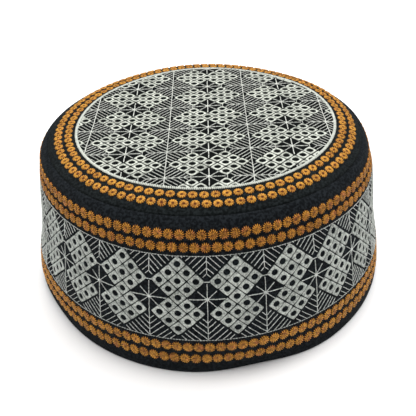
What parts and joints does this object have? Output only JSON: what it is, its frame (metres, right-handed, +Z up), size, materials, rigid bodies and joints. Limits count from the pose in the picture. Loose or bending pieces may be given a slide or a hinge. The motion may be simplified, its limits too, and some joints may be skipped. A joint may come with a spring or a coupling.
{
  "type": "prayer cap",
  "caption": "Round flat-topped cloth prayer cap with a stiff upright side band, worn on the head and geometrically embroidered in white and orange on black.",
  "frame": {"origin": "middle of the cap's plan, at the height of the hem's underside, on which the cap rests", "axes": "+Z up through the middle of the top panel, -Y towards the front of the cap, +X to the right as the front is looked at"},
  "size_m": [0.1908, 0.1858, 0.0858],
  "materials": {
    "top_cloth": "matt black cotton cloth, fine close weave",
    "band_cloth": "matt black cotton cloth, fine close weave, a little fuzzy",
    "white_thread": "white embroidery thread in close satin stitch, soft sheen",
    "orange_thread": "orange embroidery thread in radial satin stitch, soft sheen"
  },
  "bodies": {
    "root": {"top_panel": "top_cloth", "side_band": "band_cloth"}
  },
  "joints": []
}
